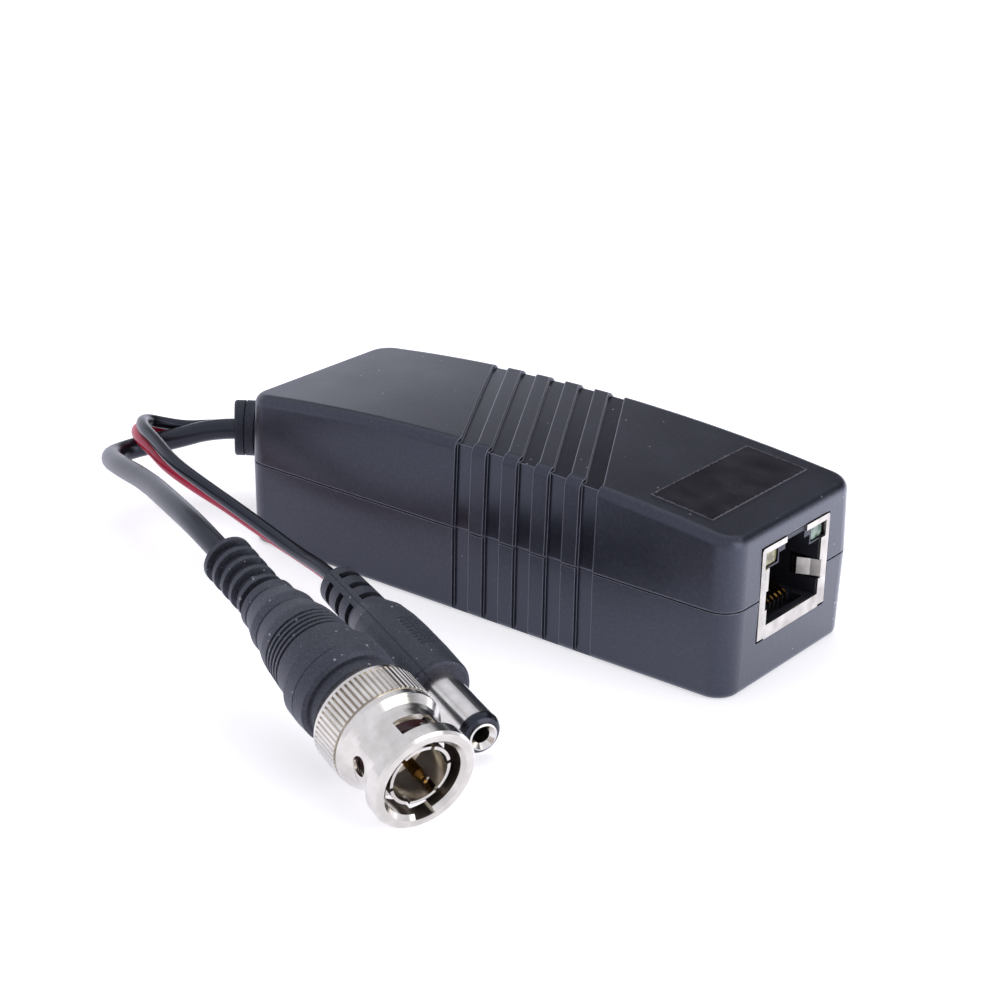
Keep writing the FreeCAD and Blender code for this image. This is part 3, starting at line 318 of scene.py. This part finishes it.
# Extruded jackets: smooth, so one narrow soft highlight runs along each lead
coax_jacket = moulded("black_pvc_jacket", "#111113", "#1a1a1e", gloss=(0.3, 0.36), grain_mm=0.8,
                      grain_depth_mm=0.008, cloud_mm=6.0)
black_jacket = moulded("black_wire_jacket", "#0c0c0e", "#141417", gloss=(0.26, 0.32), grain_mm=0.8,
                       grain_depth_mm=0.006, cloud_mm=6.0)
red_jacket = moulded("red_wire_jacket", "#c41634", "#dd2445", gloss=(0.3, 0.38), grain_mm=0.8,
                     grain_depth_mm=0.006, cloud_mm=6.0)
# Bright nickel over turned brass: white and dark streaks that follow the turning marks
turned_nickel = plated("bright_nickel_turned", "#c2bcb3", "#d6d1c8", gloss=(0.23, 0.14), mark_mm=0.22,
                       mark_depth_mm=0.006, plug=bnc_place)
# Bright nickel over a drawn tube: one clean white band with dark sides
barrel_nickel = plated("bright_nickel_drawn", "#cac5bd", "#dcd7cf", gloss=(0.23, 0.16), mark_mm=0.22,
                       mark_depth_mm=0.002, plug=dc_place)
# Nickel-plated sheet: pale and slightly mottled, as rolled and stamped
jack_nickel = plated("nickel_plated_sheet", "#948f87", "#b9b4ac", gloss=(0.4, 0.28), mark_mm=0.35,
                     mark_depth_mm=0.004)
# Gold flash on the sprung contacts and the centre pin: a warm glint in a dark hole; its dull tone, darker
# than gold itself, is painted shade for the inside of the port and the bore
gold = plated("gold_flash", "#6e5228", "#b98c45", gloss=(0.3, 0.2))
# Tinned copper and solder: grey-white, a little dull
tin = plated("tinned_copper", "#a9a8a4", "#cfcdc8", gloss=(0.45, 0.32))
# Spring steel of the two washers in the coupling: darker than the nickel round it
spring_steel = plated("spring_steel", "#7d7b77", "#a5a29c", gloss=(0.4, 0.28))
# Glass-filled nylon of the jack's core: black in the port and charcoal grey on its front edges
core_nylon = moulded("charcoal_nylon", "#1c1c20", "#28282d", gloss=(0.45, 0.55), grain_mm=0.3,
                     grain_depth_mm=0.01)
# Tinted acrylic light guides, unlit: olive yellow and pale grey-green
yellow_guide = light_guide("yellow_acrylic", "#7a7138", "#ccc688")
green_guide = light_guide("green_acrylic", "#4a6a52", "#a6c3ab")
# Glass-fibre board under green solder mask: an even satin green
board_mask = moulded("green_solder_mask", "#17402a", "#215236", gloss=(0.3, 0.38), grain_mm=0.5,
                     grain_depth_mm=0.005)
# Sintered ferrite: charcoal and matte, with a coarse grain
ferrite = moulded("grey_ferrite", "#333336", "#424246", gloss=(0.6, 0.7), grain_depth_mm=0.02)
# Enamelled copper wire, wound close: its ridges show as a fine copper-red ripple
enamel = moulded("enamelled_copper", "#7a3517", "#a04c22", gloss=(0.24, 0.3), grain_mm=0.35,
                 grain_depth_mm=0.05)
# Moulded epoxy of the suppressors: plain dull black
epoxy = moulded("black_epoxy", "#161617", "#1f1f21", gloss=(0.5, 0.6), grain_mm=0.3, grain_depth_mm=0.01)
# Acetal insulator in the plug: brown-grey in the shade of the bore
acetal = moulded("brown_grey_acetal", "#4c443c", "#61574d", gloss=(0.4, 0.5), grain_depth_mm=0.01)
# Silicone gasket: a dark red ring that only shows through the bayonet slots
silicone = moulded("dark_red_silicone", "#2a0c0c", "#451413", gloss=(0.45, 0.55), grain_depth_mm=0.01)
# Polished black ring between the power plug's two contacts: it mirrors the studio in soft streaks
tip_ring = moulded("black_acetal_ring", "#0f0f11", "#17171a", gloss=(0.16, 0.22), grain_mm=0.6,
                   grain_depth_mm=0.003)

finishes = {
    "lower_housing": case_abs, "upper_housing": case_abs, "label": film, "circuit_board": board_mask,
    "jack_shield": jack_nickel, "jack_insulator": core_nylon, "jack_contacts": gold,
    "left_led": yellow_guide, "right_led": green_guide, "led_leads": tin, "balun_core": ferrite,
    "balun_windings": enamel, "surge_suppressors": epoxy, "coax_tail": coax_jacket,
    "coax_conductors": tin, "black_tail": black_jacket, "red_tail": red_jacket, "solder_joints": tin,
    "bend_relief": relief_rubber, "coupling_sleeve": turned_nickel, "bnc_body": turned_nickel,
    "bnc_dielectric": acetal, "bnc_pin": gold, "bnc_gasket": silicone, "wave_washer": spring_steel,
    "slip_washer": spring_steel, "bnc_boot": boot_pvc, "dc_moulding": grip_pvc, "dc_barrel": barrel_nickel,
    "dc_insulator": tip_ring, "dc_inner_sleeve": barrel_nickel,
}
for node, finish in finishes.items():
    solid = nodes[node]
    if not solid.data.materials:
        solid.data.materials.append(finish)
    for slot in solid.material_slots:
        slot.material = finish


def lead(name, node, points, radius, finish):
    """A lead as a smooth spline along its route, in place of its tube."""
    curve = bpy.data.curves.new(name, "CURVE")
    curve.dimensions = "3D"
    curve.bevel_depth = radius * MM
    curve.bevel_resolution = 6
    curve.resolution_u = 12
    curve.use_fill_caps = True
    spline = curve.splines.new("NURBS")
    spline.points.add(len(points) - 1)
    for point, place in zip(spline.points, points):
        point.co = (*(Vector(place) * MM), 1.0)
    spline.order_u = 3
    spline.use_endpoint_u = True
    curve.materials.append(finish)
    obj = bpy.data.objects.new(name, curve)
    bpy.context.collection.objects.link(obj)
    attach(obj, "housing")
    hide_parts(node)


# The leads' routes from the bend relief to their plugs, as in the part's source
coax_route = [
    (-50.82, -5.76, 11.45), (-53.35, -8.03, 11.45), (-57.0, -11.4, 10.0), (-60.7, -14.0, 8.8),
    (-62.3, -17.7, 8.3), (-60.3, -21.8, 9.2), (-52.6, -27.1, 11.5), (-41.0, -33.3, 14.2),
    (-28.2, -41.3, 16.7), (-18.38, -46.35, 17.44), (-12.35, -48.37, 16.11)]
black_route = [
    (-52.76, -3.6, 10.9), (-55.29, -5.88, 10.9), (-57.9, -8.3, 10.7), (-60.1, -10.8, 11.4),
    (-61.2, -13.9, 12.7), (-57.3, -18.1, 13.7), (-51.6, -21.0, 13.7), (-45.1, -24.3, 13.2),
    (-38.5, -25.1, 11.8), (-32.2, -25.0, 9.9), (-25.8, -25.6, 8.4), (-19.6, -26.7, 7.4),
    (-13.16, -28.93, 7.8), (-10.42, -30.14, 7.53)]
red_route = [
    (-53.5, -2.79, 9.3), (-56.03, -5.06, 9.3), (-59.1, -7.2, 9.1), (-61.6, -10.0, 9.6),
    (-62.9, -13.4, 10.9), (-59.2, -17.2, 11.6), (-53.5, -19.8, 11.5), (-48.6, -22.0, 11.0),
    (-42.9, -22.3, 9.6), (-37.1, -22.0, 8.1), (-30.6, -22.9, 6.9), (-22.5, -24.3, 6.1),
    (-13.35, -27.56, 6.37), (-10.07, -29.01, 6.05)]

lead("coax_lead", "coax_cable", coax_route, 1.5, coax_jacket)
lead("black_lead", "black_wire", black_route, 0.9, black_jacket)
lead("red_lead", "red_wire", red_route, 0.9, red_jacket)


def camera():
    """The photograph's camera, solved from the housing's edges."""
    place = (181.78, -252.66, 139.82)
    azimuth, elevation, roll = (math.radians(v) for v in (36.704, 22.317, 1.732))
    data = bpy.data.cameras.new("camera")
    data.sensor_width = 36.0
    data.lens = 89.19
    data.clip_start = 10 * MM
    obj = bpy.data.objects.new("camera", data)
    bpy.context.collection.objects.link(obj)
    back = Vector((math.sin(azimuth) * math.cos(elevation), -math.cos(azimuth) * math.cos(elevation),
                   math.sin(elevation)))
    level = Vector((math.cos(azimuth), math.sin(azimuth), 0))
    upright = back.cross(level)
    right = level * math.cos(roll) + upright * math.sin(roll)
    up = -level * math.sin(roll) + upright * math.cos(roll)
    turn = Matrix((right, up, back)).transposed().to_4x4()
    obj.matrix_world = Matrix.Translation(Vector(place) * MM) @ turn
    bpy.context.scene.camera = obj


def floor():
    """A pale floor, white where no shadow falls on it; mirrored, it brightens to the back right."""
    mesh = bpy.data.meshes.new("floor")
    shape = bmesh.new()
    bmesh.ops.create_grid(shape, x_segments=1, y_segments=1, size=3000 * MM)
    shape.to_mesh(mesh)
    shape.free()
    obj = bpy.data.objects.new("floor", mesh)
    bpy.context.collection.objects.link(obj)
    made = bpy.data.materials.new("pale_floor")
    made.use_nodes = True
    tree = made.node_tree
    tree.nodes.clear()
    paint = add(tree, "BsdfDiffuse", in_Color=colour("#efedf5"))
    place = add(tree, "TexCoord").outputs["Object"]
    away = add(tree, "VectorMath", {0: place}, operation="DOT_PRODUCT", in_1=(0.6, 0.8, 0.0))
    lift = add(tree, "MapRange", {"Value": away.outputs["Value"]}, in_1=-20 * MM, in_2=90 * MM, in_3=0.85,
               in_4=2.2)
    path = add(tree, "LightPath")
    mirrored = add(tree, "Math", {0: lift, 1: path.outputs["Is Glossy Ray"]}, operation="MULTIPLY")
    plain = add(tree, "Math", {0: path.outputs["Is Camera Ray"]}, operation="MULTIPLY", in_1=0.6)
    strength = add(tree, "Math", {0: mirrored, 1: plain}, operation="ADD")
    cool = add(tree, "Mix", {0: path.outputs["Is Camera Ray"]}, data_type="RGBA", in_6=colour(studio_white),
               in_7=colour(camera_white))
    glow = add(tree, "Emission", {"Color": cool.outputs[2], "Strength": strength})
    both = add(tree, "AddShader", {0: paint, 1: glow})
    add(tree, "OutputMaterial", {"Surface": both})
    mesh.materials.append(made)


def softbox(name, place, aim, size, power, mirrored=True):
    """A soft rectangular lamp; one that isn't mirrored leaves no highlight on plastic and metal."""
    data = bpy.data.lights.new(name, "AREA")
    data.shape = "RECTANGLE"
    data.size, data.size_y = size
    data.energy = power
    obj = bpy.data.objects.new(name, data)
    bpy.context.collection.objects.link(obj)
    obj.location = place
    obj.rotation_euler = (Vector(aim) - Vector(place)).to_track_quat("-Z", "Y").to_euler()
    obj.visible_glossy = mirrored


def world():
    """White for the camera; mirrored, it is white low down and overhead, with a dark band between."""
    plain, white_low, dark_band, white_high = 0.3, 1.3, 0.06, 1.2
    made = bpy.data.worlds.new("studio")
    bpy.context.scene.world = made
    made.use_nodes = True
    tree = made.node_tree
    tree.nodes.clear()
    ray = add(tree, "TexCoord").outputs["Generated"]
    height = add(tree, "SeparateXYZ", {0: ray})
    tilted = add(tree, "VectorMath", {0: ray}, operation="DOT_PRODUCT", in_1=(0.0, 0.45, 1.0))
    low = add(tree, "MapRange", {"Value": tilted.outputs["Value"]}, in_1=0.5, in_2=0.73, in_3=white_low,
              in_4=dark_band)
    high = add(tree, "MapRange", {"Value": height.outputs[2]}, in_1=0.54, in_2=0.7, in_3=0.0, in_4=white_high)
    sky = add(tree, "Math", {0: low, 1: high}, operation="MAXIMUM")
    path = add(tree, "LightPath")
    mirrored = add(tree, "Math", {0: path.outputs["Is Glossy Ray"], 1: path.outputs["Is Transmission Ray"]},
                   operation="MAXIMUM")
    strength = add(tree, "Mix", {0: mirrored, 3: sky}, data_type="FLOAT", in_2=plain)
    strength = add(tree, "Math", {0: strength, 1: path.outputs["Is Camera Ray"]}, operation="MAXIMUM")
    cool = add(tree, "Mix", {0: path.outputs["Is Camera Ray"]}, data_type="RGBA", in_6=colour(studio_white),
               in_7=colour(camera_white))
    light = add(tree, "Background", {"Color": cool.outputs[2], "Strength": strength})
    add(tree, "OutputWorld", {"Surface": light})


camera()
floor()
# Three lamps in metres and watts; only the one on the right is seen in the plastic and the metal
softbox("overhead", (-0.25, 0.25, 0.75), (0, 0, 0), (0.8, 0.8), 3.2, mirrored=False)
softbox("right_side", (0.75, 0.05, 0.3), (0, 0, 0.01), (0.6, 0.6), 2.6)
softbox("front", (-0.35, -0.75, 0.45), (0, -0.02, 0.01), (0.6, 0.5), 1.0, mirrored=False)
world()
bpy.context.scene.view_settings.view_transform = "Standard"
